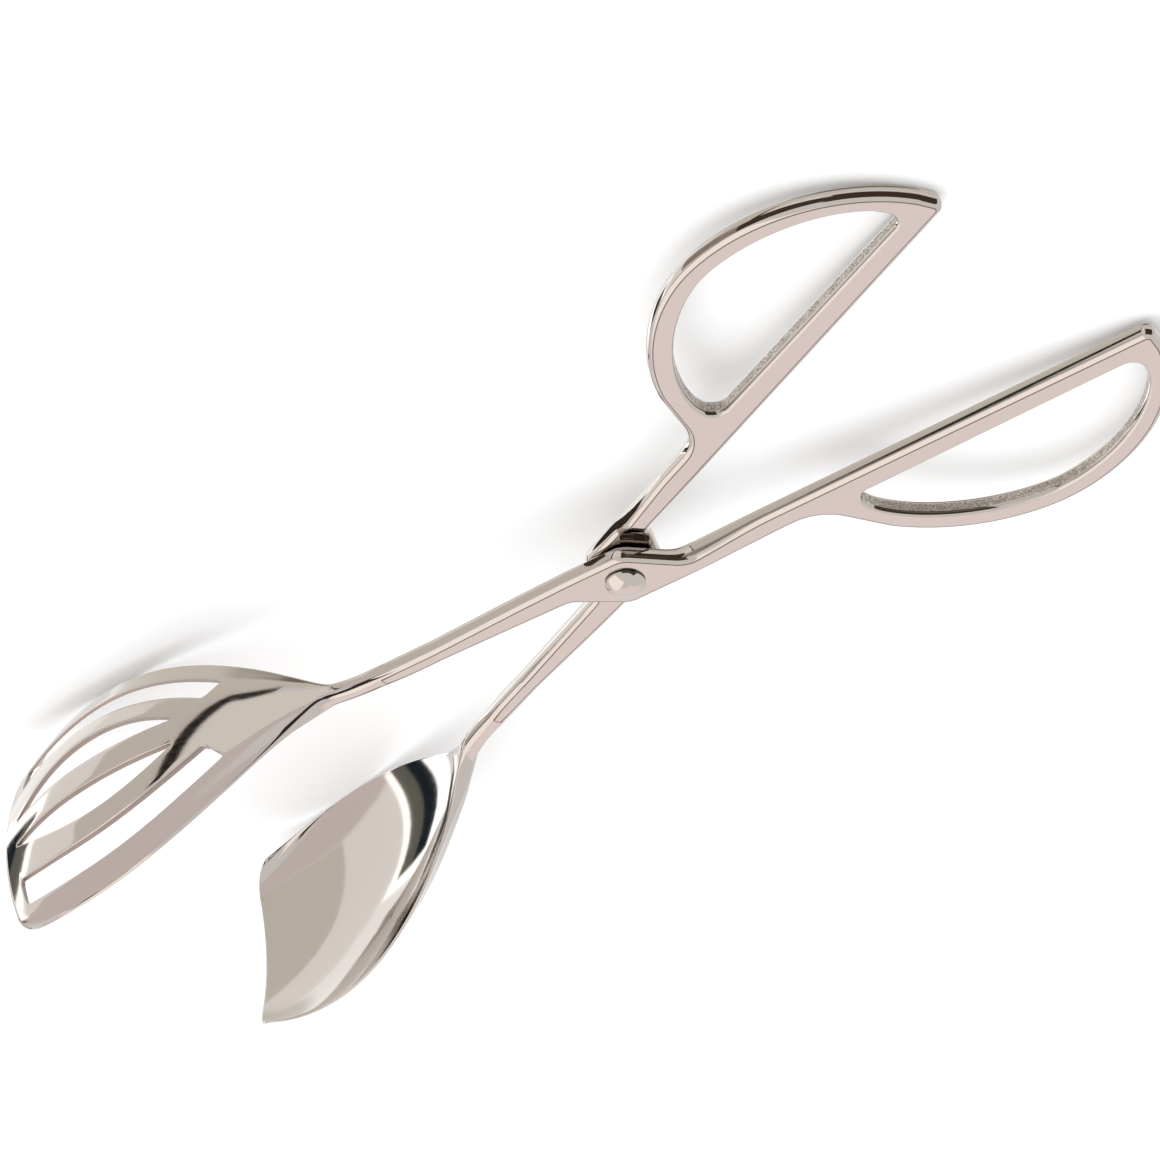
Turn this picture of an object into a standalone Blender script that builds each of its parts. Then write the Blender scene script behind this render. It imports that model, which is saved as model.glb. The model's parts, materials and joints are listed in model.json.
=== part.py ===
"""Scissor-action serving tongs: a slotted arm and a scoop arm on one rivet.

Each arm is drawn with its pivot at the origin, its finger loop along +X and its bowl along -X, and
with the inner edge of its loop parallel to X. The slotted arm has its loop on the -Y side. The
scoop arm is the same arm seen in a mirror, and it passes under the slotted arm at the rivet.
"""

import math

import bmesh
import bpy
from mathutils import Matrix, Vector

for old in list(bpy.data.objects):
    bpy.data.objects.remove(old, do_unlink=True)

MM = 0.001

# Arms, in millimetres
PLATE = 3.4  # thickness of the forged arms
EDGE = 0.8  # rounding of the arms' edges
OPEN_ANGLE = 24.1  # angle between the two finger loops' inner edges, at rest

# Pivot
FACE_GAP = 0.3  # running gap between the arms' bearing faces
FIT_GAP = 0.15  # gap all round the rivet's shank, and under its heads
RIVET_SHANK = 4.0  # diameter
RIVET_HEAD = 7.4  # diameter of the domed head
HEAD_DOME = 1.2  # height of the domed head
HEAD_RIM = 0.35  # height of its upright rim
TAIL_HEAD = 6.4  # diameter of the peened end below
TAIL_DOME = 0.7

# Boss round the rivet, and the offset beside it that brings both loops to one level
BOSS_HALF = 6.5  # from the rivet's axis to the boss's long edges
OFFSET_START = 9.0  # radius from the rivet where the loop side leaves the boss's level
OFFSET_END = 13.5  # radius where it has reached the loop's level
LOOP_LEVEL = 0.45  # height of the slotted arm's loop above the plane midway between the arms
LOOP_DROOP = 0.011  # slope by which both loops dip towards their far ends
DROOP_START = 12.0

# Finger loop
LOOP_INNER = -2.2  # inner edge of the loop and its shank
LOOP_MID = 73.5  # middle of the loop
LOOP_HALF = 35.7  # half of its length
LOOP_DEPTH = 31.1  # from the inner edge to the outside of the bow
LOOP_FULLNESS = 1.89  # 2 is an ellipse, less is leaner
LOOP_TIP_RADIUS = 1.8
HOLE_INNER = (-7.6, -7.1)  # straight side of the finger hole, at its pivot end and its far end
HOLE_MID = 74.0
HOLE_HALF = 29.8
HOLE_DEPTH = 21.5
HOLE_FULLNESS = 1.73
HOLE_CORNER_RADIUS = 2.6
SHANK_OUTER = -7.5  # outer edge of the shank between boss and loop
LOOP_ROOT = 37.0  # where the shank meets the bow, before rounding
LOOP_ROOT_RADIUS = 9.0
BOW_START = 44.4  # the bow leaves that rounding here

# Bowl-side shank: its edges at the boss and at the cut where the neck begins
SHANK_CUT = -40.0
BOWL_SHANK_BOSS = (0.6, 6.15)  # inner and outer edge at x = -20
BOWL_SHANK_CUT = (1.1, 5.2)  # inner and outer edge at the cut

# Bowl
NECK_END = -62.7  # the bowl's width starts to grow here
BOWL_WIDEST = -118.0
BOWL_TIP = -141.6  # at the tip's corners
TIP_BOW = 1.9  # the middle of the tip runs on this far
TIP_CORNER_RADIUS = 3.4
BOWL_HALF_WIDTH = 22.6
TIP_HALF_WIDTH = 18.8
RIM_CREST = (-94.7, 7.2)  # where the rim lies farthest out
RIM_RADIUS = 135.0  # lengthwise curve of the rim
RIM_BLEND = (-52.4, -73.0)  # the straight shank passes into that curve between these
BOWL_DEPTH = 6.2  # from the rim's plane to the bottom of the hollow
BOWL_DEEPEST = -120.0
TIP_DEPTH = 3.1
NECK_HALF_THICK = 2.0
BOWL_HALF_THICK = 0.75
TIP_HALF_THICK = 0.6
THICK_FROM, THICK_TO = -59.4, -71.4  # the forging thins between these
LEVEL_FROM, LEVEL_TO = -46.0, -80.0  # the neck comes to the middle level between these

# Slots: two that follow the rim, and two with a straight side along the middle strip
RIM_STRIP = 4.75  # metal left between the rim and the outer slots
OUTER_SLOT_WIDTH = 5.0
OUTER_SLOT_NECK = (-84.6, -88.4)  # neck end, on the rim's side and on the middle's side
OUTER_SLOT_TIP = -137.3
MIDDLE_STRIP_HALF = 2.65
INNER_SLOT_BULGE = 5.6  # greatest width
INNER_SLOT = (-94.8, -137.2)  # neck end and tip end
SLOT_CORNER_RADIUS = 0.9

# Fineness of the meshes
ARC_STEP = math.radians(12)
BOW_LAST = math.radians(170)  # the bows stop here, short of their corners
HOLE_LAST = math.radians(164)
BOW_STEPS = 34
HOLE_STEPS = 30
BOWL_RINGS = 36
BOWL_COLUMNS = 16
CORNER_STEPS = 3
SLOT_STEPS = 16

ARM_LEVEL = (PLATE + FACE_GAP) / 2  # middle of the slotted arm at the boss
STEEL = (0.78, 0.75, 0.72)


def smooth(value, start, end):
    """0 at start and 1 at end, with level ends."""
    t = min(max((value - start) / (end - start), 0), 1)
    return t * t * (3 - 2 * t)


def rounded(corners):
    """The points of a closed outline whose corners (x, y, radius) are rounded by arcs."""
    points = []
    count = len(corners)
    for i, (x, y, radius) in enumerate(corners):
        here = Vector((x, y))
        before = Vector(corners[i - 1][:2]) - here
        after = Vector(corners[(i + 1) % count][:2]) - here
        if radius == 0:
            points.append(here)
            continue
        half = before.angle(after) / 2
        reach = radius / math.tan(half)
        middle = here + (before.normalized() + after.normalized()).normalized() * radius / math.sin(half)
        start = here + before.normalized() * reach - middle
        turn = start.angle_signed(here + after.normalized() * reach - middle)
        steps = max(2, math.ceil(abs(turn) / ARC_STEP))
        for step in range(steps + 1):
            points.append(middle + Matrix.Rotation(-turn * step / steps, 2) @ start)
    return points


def bow(middle, half, depth, fullness, inner, first, last, steps):
    """Points on the loop's bow, from angle first to angle last, measured from the pivot end."""
    points = []
    for i in range(steps + 1):
        angle = first + (last - first) * i / steps
        along = math.copysign(abs(math.cos(angle)) ** (2 / fullness), math.cos(angle))
        points.append((middle - half * along, inner - depth * math.sin(angle) ** (2 / fullness), 0))
    return points


def arm_outline():
    """The slotted arm's flat outline, from the neck's cut round by the loop and back."""
    inner_slope = (BOWL_SHANK_BOSS[0] - BOWL_SHANK_CUT[0]) / (-20 - SHANK_CUT)
    beyond = SHANK_CUT - 10
    bow_first = math.acos(((LOOP_MID - BOW_START) / LOOP_HALF) ** (LOOP_FULLNESS / 2))
    return rounded(
        [
            (beyond, BOWL_SHANK_CUT[0] + inner_slope * (beyond - SHANK_CUT), 0),
            (-11.6, BOWL_SHANK_BOSS[0], 3.5),
            (-3.0, -BOSS_HALF, 4.0),
            (7.1, -BOSS_HALF, 10.0),
            (25.0, SHANK_OUTER, 10.0),
            (LOOP_ROOT, SHANK_OUTER, LOOP_ROOT_RADIUS),
            *bow(LOOP_MID, LOOP_HALF, LOOP_DEPTH, LOOP_FULLNESS, LOOP_INNER, bow_first, BOW_LAST, BOW_STEPS),
            (LOOP_MID + LOOP_HALF, LOOP_INNER, LOOP_TIP_RADIUS),
            (11.9, LOOP_INNER, 4.5),
            (3.3, BOSS_HALF, 4.5),
            (-9.0, BOSS_HALF, 25.0),
            (-20.0, BOWL_SHANK_BOSS[1], 40.0),
            (SHANK_CUT, BOWL_SHANK_CUT[1], 60.0),
            (beyond, BOWL_SHANK_CUT[1] - 0.2, 0),
        ]
    )


def hole_outline():
    """The finger hole: a straight side and a bow, with rounded corners."""
    start, end = HOLE_INNER
    first, last = math.pi - HOLE_LAST, HOLE_LAST
    return rounded(
        [
            (HOLE_MID - HOLE_HALF, start, HOLE_CORNER_RADIUS),
            *bow(HOLE_MID, HOLE_HALF, HOLE_DEPTH, HOLE_FULLNESS, start, first, last, HOLE_STEPS),
            (HOLE_MID + HOLE_HALF, end, HOLE_CORNER_RADIUS),
        ]
    )


def circle(radius, steps):
    return [Vector((radius * math.cos(2 * math.pi * i / steps), radius * math.sin(2 * math.pi * i / steps)))
            for i in range(steps)]


def level(x, y):
    """Height of the slotted arm's middle: the boss and bowl side run above the loop side."""
    if x <= 0:
        return ARM_LEVEL
    return ARM_LEVEL + (LOOP_LEVEL - ARM_LEVEL) * smooth(math.hypot(x, y), OFFSET_START, OFFSET_END)


def plate_mesh():
    """Loop, boss and shank as one rounded plate, open where the neck is to be joined."""
    curve = bpy.data.curves.new("arm_plate", "CURVE")
    curve.dimensions = "2D"
    curve.fill_mode = "BOTH"
    for outline in (arm_outline(), hole_outline(), circle(RIVET_SHANK / 2 + FIT_GAP, 32)):
        spline = curve.splines.new("POLY")
        spline.points.add(len(outline) - 1)
        spline.use_cyclic_u = True
        for point, place in zip(spline.points, outline):
            point.co = (place[0], place[1], 0, 1)
    curve.extrude = PLATE / 2 - EDGE
    curve.bevel_depth = EDGE
    curve.offset = -EDGE
    curve.bevel_resolution = 1
    drawn = bpy.data.objects.new("arm_plate", curve)
    bpy.context.scene.collection.objects.link(drawn)
    bpy.context.view_layer.update()
    mesh = bpy.data.meshes.new_from_object(drawn.evaluated_get(bpy.context.evaluated_depsgraph_get()))
    bpy.data.objects.remove(drawn)
    bpy.data.curves.remove(curve)

    bm = bmesh.new()
    bm.from_mesh(mesh)
    bpy.data.meshes.remove(mesh)
    bmesh.ops.remove_doubles(bm, verts=bm.verts, dist=0.0001)

    def cut(place, normal, clear=False):
        bmesh.ops.bisect_plane(
            bm,
            geom=bm.verts[:] + bm.edges[:] + bm.faces[:],
            dist=0.0001,
            plane_co=place,
            plane_no=normal,
            clear_inner=clear,
        )

    cut((SHANK_CUT, 0, 0), (1, 0, 0), clear=True)
    for step in range(11):
        cut((6.5 + 0.9 * step, 0, 0), (1, 0, 0))
    for step in range(4):
        cut((0, -1.6 - 1.5 * step, 0), (0, 1, 0))
    for vert in bm.verts:
        vert.co.z += level(vert.co.x, vert.co.y)
    return bm


def half_width(x):
    """Half of the bowl's width. It grows as a quarter sine, then draws in a little to the tip."""
    if x > NECK_END:
        return 0
    if x > BOWL_WIDEST:
        return BOWL_HALF_WIDTH * math.sin(math.pi / 2 * (NECK_END - x) / (NECK_END - BOWL_WIDEST))
    share = (BOWL_WIDEST - x) / (BOWL_WIDEST - BOWL_TIP)
    return BOWL_HALF_WIDTH - (BOWL_HALF_WIDTH - TIP_HALF_WIDTH) * share**2


def depth(x):
    """Depth of the hollow below the rim."""
    if x > NECK_END:
        return 0
    if x > BOWL_DEEPEST:
        return BOWL_DEPTH * math.sin(math.pi / 2 * (NECK_END - x) / (NECK_END - BOWL_DEEPEST))
    share = (BOWL_DEEPEST - x) / (BOWL_DEEPEST - BOWL_TIP)
    return BOWL_DEPTH - (BOWL_DEPTH - TIP_DEPTH) * share**2


def rim_side(x):
    """Y of the rim's middle: straight along the shank, then an arc."""
    shank = sum(BOWL_SHANK_CUT) / 2
    arc = RIM_CREST[1] - (x - RIM_CREST[0]) ** 2 / (2 * RIM_RADIUS)
    return shank + (arc - shank) * smooth(x, *RIM_BLEND)


def ring(share):
    """One closed section of neck and bowl, at a share of the way from the cut to the tip."""
    start = SHANK_CUT - 1
    x = start + (BOWL_TIP - start) * share
    tall = math.hypot(PLATE / 2, half_width(x))
    thick = NECK_HALF_THICK + (BOWL_HALF_THICK - NECK_HALF_THICK) * smooth(x, THICK_FROM, THICK_TO)
    thick += (TIP_HALF_THICK - BOWL_HALF_THICK) * smooth(x, BOWL_WIDEST, BOWL_TIP)
    thick += ((BOWL_SHANK_CUT[1] - BOWL_SHANK_CUT[0]) / 2 - NECK_HALF_THICK) * smooth(x, -52, SHANK_CUT)
    radius = min(EDGE, 0.9 * thick)
    flat = tall - radius
    right = [(thick, flat * math.sin(math.pi / 2 * (2 * i / BOWL_COLUMNS - 1))) for i in range(BOWL_COLUMNS + 1)]
    corner = []
    for step in range(1, CORNER_STEPS):
        angle = math.pi / 2 * step / CORNER_STEPS
        corner.append((thick - radius + radius * math.cos(angle), flat + radius * math.sin(angle)))
    top = [*corner, (thick - radius, tall)]
    half = right + top
    section = half + [(-a, -b) for a, b in half]
    points = []
    for across, up in section:
        bend = 1 - (up / tall) ** 2
        inward = max(0, abs(up) - (tall - TIP_CORNER_RADIUS)) / TIP_CORNER_RADIUS
        tip = TIP_BOW * bend - TIP_CORNER_RADIUS * (1 - math.sqrt(max(0, 1 - inward**2)))
        points.append(
            (
                x - tip * share**9,
                rim_side(x) + depth(x) * bend + across,
                up + ARM_LEVEL * (1 - smooth(x, LEVEL_FROM, LEVEL_TO)),
            )
        )
    return points


def add_bowl(bm):
    """Lofts the neck and bowl on to the plate's open end."""
    collar = [edge for edge in bm.edges if edge.is_boundary]
    rings = []
    for i in range(BOWL_RINGS + 1):
        rings.append([bm.verts.new(point) for point in ring((i / BOWL_RINGS) ** 0.9)])
    count = len(rings[0])
    for near, far in zip(rings, rings[1:]):
        for i in range(count):
            j = (i + 1) % count
            bm.faces.new((near[i], near[j], far[j], far[i]))
    bm.faces.new(rings[-1])
    first = [bm.edges.get((rings[0][i], rings[0][(i + 1) % count])) for i in range(count)]
    bmesh.ops.bridge_loops(bm, edges=collar + first)
    bmesh.ops.recalc_face_normals(bm, faces=bm.faces[:])


def outer_slot(side):
    """Outline in X and Z of the slot beside the upper or lower rim. Its neck end is slanted."""
    near, far = OUTER_SLOT_NECK
    rim, middle = [], []
    for i in range(SLOT_STEPS + 1):
        share = i / SLOT_STEPS
        x = near + (OUTER_SLOT_TIP - near) * share
        rim.append((x, half_width(x) - RIM_STRIP))
        x = far + (OUTER_SLOT_TIP - far) * share
        middle.append((x, half_width(x) - RIM_STRIP - OUTER_SLOT_WIDTH))
    return slot_corners(rim + middle[::-1], (0, SLOT_STEPS, SLOT_STEPS + 1, 2 * SLOT_STEPS + 1), side)


def inner_slot(side):
    """Outline in X and Z of the slot beside the middle strip: a straight side and a bowed one."""
    neck, tip = INNER_SLOT
    bowed = []
    for i in range(SLOT_STEPS + 1):
        share = i / SLOT_STEPS
        bulge = 0.4 + INNER_SLOT_BULGE * 4 * share * (1 - share)
        bowed.append((neck + (tip - neck) * share, MIDDLE_STRIP_HALF + bulge))
    straight = [(tip, MIDDLE_STRIP_HALF), (neck, MIDDLE_STRIP_HALF)]
    return slot_corners(bowed + straight, (), side)


def slot_corners(outline, corners, side):
    """Rounds the numbered corners, and mirrors the outline to the lower half if side is -1."""
    radii = [SLOT_CORNER_RADIUS if i in corners else 0 for i in range(len(outline))]
    return [(p[0], side * p[1]) for p in rounded([(x, z, r) for (x, z), r in zip(outline, radii)])]


def slot_cutter(name, outline):
    """A bar through the bowl, shaped like the slot."""
    bm = bmesh.new()
    face = bm.faces.new([bm.verts.new((x * MM, -12 * MM, z * MM)) for x, z in outline])
    grown = bmesh.ops.extrude_face_region(bm, geom=[face])
    moved = [item for item in grown["geom"] if isinstance(item, bmesh.types.BMVert)]
    bmesh.ops.translate(bm, verts=moved, vec=(0, 40 * MM, 0))
    bmesh.ops.recalc_face_normals(bm, faces=bm.faces[:])
    mesh = bpy.data.meshes.new(name)
    bm.to_mesh(mesh)
    bm.free()
    cutter = bpy.data.objects.new(name, mesh)
    cutters.objects.link(cutter)
    cutter.hide_render = True
    cutter.display_type = "WIRE"
    return cutter


def steel(name, roughness):
    material = bpy.data.materials.new(name)
    material.use_nodes = True
    shader = material.node_tree.nodes["Principled BSDF"]
    shader.inputs["Base Color"].default_value = (*STEEL, 1)
    shader.inputs["Metallic"].default_value = 1
    shader.inputs["Roughness"].default_value = roughness
    return material


def arm(name, mirrored):
    """One arm as an object with its origin on the rivet's axis."""
    bm = plate_mesh()
    add_bowl(bm)
    if mirrored:
        # Turned over about X: the loop goes to +Y and the boss below the other arm's.
        bmesh.ops.transform(bm, matrix=Matrix.Rotation(math.pi, 3, "X"), verts=bm.verts)
    for vert in bm.verts:
        vert.co.z -= LOOP_DROOP * max(0, vert.co.x - DROOP_START)
    bmesh.ops.scale(bm, vec=(MM, MM, MM), verts=bm.verts)
    mesh = bpy.data.meshes.new(name)
    bm.to_mesh(mesh)
    bm.free()
    mesh.materials.append(steel(name + "_polished_stainless", 0.08))
    mesh.shade_smooth()
    piece = bpy.data.objects.new(name, mesh)
    tongs.objects.link(piece)
    return piece


def rivet(name):
    """The rivet, turned: domed head, shank through both arms and a peened tail."""
    top = ARM_LEVEL + PLATE / 2 + FIT_GAP
    dome = []
    for i in range(7):
        angle = math.pi / 2 * i / 6
        dome.append((RIVET_HEAD / 2 * math.sin(angle), top + HEAD_RIM + (HEAD_DOME - HEAD_RIM) * math.cos(angle)))
    tail = []
    for i in range(7):
        angle = math.pi / 2 * (1 - i / 6)
        tail.append((TAIL_HEAD / 2 * math.sin(angle), -top - TAIL_DOME * math.cos(angle)))
    profile = dome + [(RIVET_HEAD / 2, top), (RIVET_SHANK / 2, top), (RIVET_SHANK / 2, -top)] + tail
    mesh = bpy.data.meshes.new(name)
    edges = [(i, i + 1) for i in range(len(profile) - 1)]
    mesh.from_pydata([(r * MM, 0, z * MM) for r, z in profile], edges, [])
    mesh.materials.append(steel(name + "_polished_stainless", 0.1))
    piece = bpy.data.objects.new(name, mesh)
    tongs.objects.link(piece)
    screw = piece.modifiers.new("turned", "SCREW")
    screw.axis = "Z"
    screw.steps = screw.render_steps = 40
    screw.use_merge_vertices = True
    screw.merge_threshold = 0.00001
    screw.use_smooth_shade = True
    return piece


def rest_tilt(pieces):
    """The tilt about Y at which bowls and loops touch the table together."""
    corners = [piece.matrix_world @ vert.co for piece in pieces for vert in piece.data.vertices]
    low, high = 0.0, math.radians(15)
    for _ in range(40):
        tilt = (low + high) / 2
        turned = Matrix.Rotation(tilt, 3, "Y")
        bowl = min((turned @ co).z for co in corners if co.x < 0)
        loop = min((turned @ co).z for co in corners if co.x > 0)
        if bowl < loop:
            low = tilt
        else:
            high = tilt
    return tilt


tongs = bpy.data.collections.new("serving_tongs")
cutters = bpy.data.collections.new("cutters")
bpy.context.scene.collection.children.link(tongs)
bpy.context.scene.collection.children.link(cutters)

slotted_arm = arm("slotted_arm", mirrored=False)
scoop_arm = arm("scoop_arm", mirrored=True)
pivot_rivet = rivet("pivot_rivet")

for label, drawn_slot in (
    ("slot_outer_upper", outer_slot(1)),
    ("slot_inner_upper", inner_slot(1)),
    ("slot_inner_lower", inner_slot(-1)),
    ("slot_outer_lower", outer_slot(-1)),
):
    opening = slot_cutter(label, drawn_slot)
    opening.parent = slotted_arm
    boolean = slotted_arm.modifiers.new(label, "BOOLEAN")
    boolean.operation = "DIFFERENCE"
    boolean.solver = "EXACT"
    boolean.object = opening

# The arms stand open, each turned by half of the angle between the loops.
slotted_arm.rotation_euler.z = -math.radians(OPEN_ANGLE / 2)
hinge = bpy.data.objects.new("hinge_axis", None)
tongs.objects.link(hinge)
hinge.rotation_euler.z = math.radians(OPEN_ANGLE / 2)
scoop_arm.parent = hinge
bpy.context.view_layer.update()

# The tongs lie on the table on the bowls' lower rims and the ends of the loops.
table = bpy.data.objects.new("lying_on_table", None)
tongs.objects.link(table)
table.rotation_euler.y = rest_tilt((slotted_arm, scoop_arm))
for piece in (slotted_arm, hinge, pivot_rivet):
    piece.parent = table
bpy.context.view_layer.update()
spots = [arm.matrix_world @ vert.co for arm in (slotted_arm, scoop_arm) for vert in arm.data.vertices]
middle_x = (min(p.x for p in spots) + max(p.x for p in spots)) / 2
middle_y = (min(p.y for p in spots) + max(p.y for p in spots)) / 2
table.location = (-middle_x, -middle_y, -min(p.z for p in spots))
bpy.context.view_layer.update()
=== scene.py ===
# %% [markdown]
# # Polished serving tongs
# Two forged stainless arms cross at one rivet. One arm ends in a slotted bowl, the other in a solid
# scoop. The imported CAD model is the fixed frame: it gives the size, the hinge and the names. This script
# makes finer arms and a finer rivet in the same place, because a mirror polish shows every facet of a
# coarse mesh.

# %% Load the frame
import json
import math

import bmesh
import bpy
from mathutils import Matrix, Vector


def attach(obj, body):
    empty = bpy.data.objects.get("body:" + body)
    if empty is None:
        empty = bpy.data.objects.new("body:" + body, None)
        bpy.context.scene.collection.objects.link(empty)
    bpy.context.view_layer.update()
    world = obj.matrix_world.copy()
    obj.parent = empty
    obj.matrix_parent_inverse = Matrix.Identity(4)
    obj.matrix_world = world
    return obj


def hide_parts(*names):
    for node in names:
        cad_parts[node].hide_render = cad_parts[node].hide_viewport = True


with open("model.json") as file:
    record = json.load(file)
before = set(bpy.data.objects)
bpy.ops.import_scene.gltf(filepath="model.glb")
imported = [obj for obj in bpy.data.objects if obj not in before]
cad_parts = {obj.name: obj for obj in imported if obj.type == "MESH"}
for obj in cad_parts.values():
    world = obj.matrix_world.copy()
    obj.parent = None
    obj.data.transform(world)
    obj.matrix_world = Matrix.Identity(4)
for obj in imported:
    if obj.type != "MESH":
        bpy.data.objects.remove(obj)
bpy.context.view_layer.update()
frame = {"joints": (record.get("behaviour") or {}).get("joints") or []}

# %% [markdown]
# ## Sizes
# All lengths are millimetres and become metres when a point is placed. Each arm is drawn alone first: the
# rivet's axis is the origin, the finger loop lies along +X and the bowl along -X. Both arms come from one
# drawing, and the scoop arm is that drawing turned over, as the photograph shows.

# %% Sizes of the arms
MM = 0.001
PLATE = 3.4  # thickness of the forged arms
FACE_GAP = 0.3  # between the arms at the rivet
ARM_LEVEL = (PLATE + FACE_GAP) / 2  # height of an arm's middle over the plane between the arms
OPEN_ANGLE = 24.1  # degrees between the loops' inner edges
BOSS_HALF = 6.5  # from the rivet's axis to the boss's long edges
RIVET_SHANK, FIT_GAP = 2.0, 0.15  # the rivet's radius in its holes, and the gap round it and under its heads
STEP_START, INNER_STEP_END, OUTER_STEP_END = 9.0, 13.5, 30.0  # radii of the step beside the boss, by face
LOOP_LEVEL = 0.45  # height of an arm's middle behind that step
LOOP_DROOP, DROOP_START = 0.011, 12.0  # slope by which the loops sink, and where it begins
SHANK_CUT = -40.0  # the flat plate ends here and the neck begins
SHANK_INNER, SHANK_OUTER = 1.1, 5.2  # the shank's edges at that cut
print("height of the two arms at the rivet:", 2 * PLATE + FACE_GAP, "mm")

# %% Sizes of the edges
HOLE_EDGE = 0.85  # rounding of the openings' edges
CHAMFER, CHAMFER_TILT = 0.85, math.radians(31)  # the bright facet along the arms' edges: width and slope
CHAMFER_TURN = math.radians(7)  # half of the turn over that facet, which polishing leaves a little round
CORNER, WALL_TURN = 0.5, math.radians(22)  # below it a corner of that radius, then a side that bulges so far
CREASE, CREASE_DEPTH = 0.2, 0.07  # the crease between the flat face and the facet, which carries painted shade
FLAT_ROW = 0.12  # width of a row inside each edge that keeps the flat face's shading flat
RIM_EDGE, SLOT_EDGE, TIP_EDGE = 0.8, 0.22, 0.5  # rounding of the bowls' rims, slots and tips
SIDE_STEPS, CORNER_STEPS, FACET_STEPS, OPENING_STEPS, SLOT_STEPS = 5, 4, 5, 6, 4
print("bright facet:", CHAMFER, "mm wide, sloping by", round(math.degrees(CHAMFER_TILT)), "degrees")

# %% Sizes of the bowls
LOFT_START = SHANK_CUT - 1  # the neck's first section, sewn to the plate
NECK_END, BOWL_WIDEST, BOWL_TIP = -62.7, -118.0, -141.6
BOWL_HALF_WIDTH, TIP_HALF_WIDTH = 22.6, 18.8
BOWL_DEPTH, BOWL_DEEPEST, TIP_DEPTH = 6.2, -120.0, 3.1
TIP_BOW, TIP_FADE = 1.9, 9  # how far the tip bows out, and the power by which that fades along the bowl
RIM_CREST, RIM_RADIUS, RIM_BLEND = (-94.7, 7.2), 135.0, (-52.4, -73.0)  # the rims' curve, seen from above
LEVEL_BLEND = (-46.0, -80.0)  # here the bowls leave the arms' levels for one middle
NECK_HALF_THICK, BOWL_HALF_THICK, TIP_HALF_THICK = 2.0, 0.75, 0.6
SHANK_BLEND, BOWL_BLEND = (-52.0, SHANK_CUT), (-59.4, -82.0)  # here the neck's thickness turns to theirs
RIM_THIN, THIN_ACROSS, THIN_ALONG = 0.6, (0.6, 0.95), (-64.0, -82.0)  # a rim's wall is thinner by that share
NECK_ROUND, ROUND_GROWS, ROUND_FADES = 1.75, (-42.0, -50.0), (-58.0, -72.0)  # rounding of the neck's corners
EDGES_FADE = (-47.0, -58.0)  # here the shank's facets fade into the neck
# A tip corner's reach along tip and rim, then 0 for a rim thinned from both sides or -1 from outside only.
SLOTTED_FORM, SCOOP_FORM = (3.4, 3.4, 0), (6.0, 5.0, -1)
print("length of a bowl:", round(NECK_END - BOWL_TIP, 1), "mm")

# %% Sizes of the slots
RIM_STRIP, OUTER_SLOT_WIDTH = 4.75, 5.0  # metal between rim and outer slot, and that slot's width
OUTER_SLOT_NECK, OUTER_SLOT_TIP = (-84.6, -88.4), -137.3  # its slanted end and its end at the tip
MIDDLE_STRIP_HALF, INNER_SLOT = 2.65, (-94.8, -137.2)  # half the strip between inner slots, and their ends
INNER_SLOT_END, INNER_SLOT_BULGE = 0.4, 5.6  # an inner slot's width at its ends, and what its middle adds
SLOT_CORNER = 0.26  # how far an outer slot's corner points move in
print("length of the inner slots:", round(INNER_SLOT[0] - INNER_SLOT[1], 1), "mm")

# %% [markdown]
# ## The flat outline
# A forged arm is trimmed in a press, so seen from above it is one outline with rounded corners: boss,
# shank and the D-shaped finger loop. It could be traced by hand, but then nothing in it could be measured
# or changed. So corners are given as x, y and radius, and each is replaced by an arc. The loop's bow is a
# superellipse, a curve between an ellipse and a lens, because that is the shape a finger loop has.

# %% Helpers for outlines
def smooth(value, start, end):
    """0 at start and 1 at end, with level ends."""
    t = min(max((value - start) / (end - start), 0), 1)
    return t * t * (3 - 2 * t)


def rounded(corners, step=math.radians(4)):
    """Points of a closed outline whose corners (x, y, radius) are rounded by arcs."""
    points = []
    for i, (x, y, radius) in enumerate(corners):
        here = Vector((x, y))
        before = (Vector(corners[i - 1][:2]) - here).normalized()
        after = (Vector(corners[(i + 1) % len(corners)][:2]) - here).normalized()
        if radius == 0:
            points.append(here)
            continue
        half = before.angle(after) / 2
        middle = here + (before + after).normalized() * radius / math.sin(half)
        start = here + before * radius / math.tan(half) - middle
        turn = start.angle_signed(here + after * radius / math.tan(half) - middle)
        count = max(4, math.ceil(abs(turn) / step))
        points += [middle + Matrix.Rotation(-turn * n / count, 2) @ start for n in range(count + 1)]
    return points


def bow(middle, half, deep, fullness, inner, first, last, count):
    """Points of a loop's bow between two angles, measured from the rivet's end."""
    points = []
    for n in range(count + 1):
        angle = first + (last - first) * n / count
        along = math.copysign(abs(math.cos(angle)) ** (2 / fullness), math.cos(angle))
        points.append((middle - half * along, inner - deep * math.sin(angle) ** (2 / fullness), 0))
    return points


# %% The outline of an arm
INNER_EDGE, LOOP_CORNER = -2.2, 1.8  # a loop's straight inner edge, and the corner at its end
LOOP_MIDDLE, LOOP_HALF, LOOP_DEEP, LOOP_FULLNESS = 73.5, 35.7, 31.1, 1.89
BOW_START, BOW_LAST, BOW_COUNT = 44.4, math.radians(170), 150  # where the bow leaves the shank, and its end
WAIST = -7.5  # the shank's edge between boss and bow
PAST_CUT = -50.0  # the drawn shank runs on to here

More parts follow.
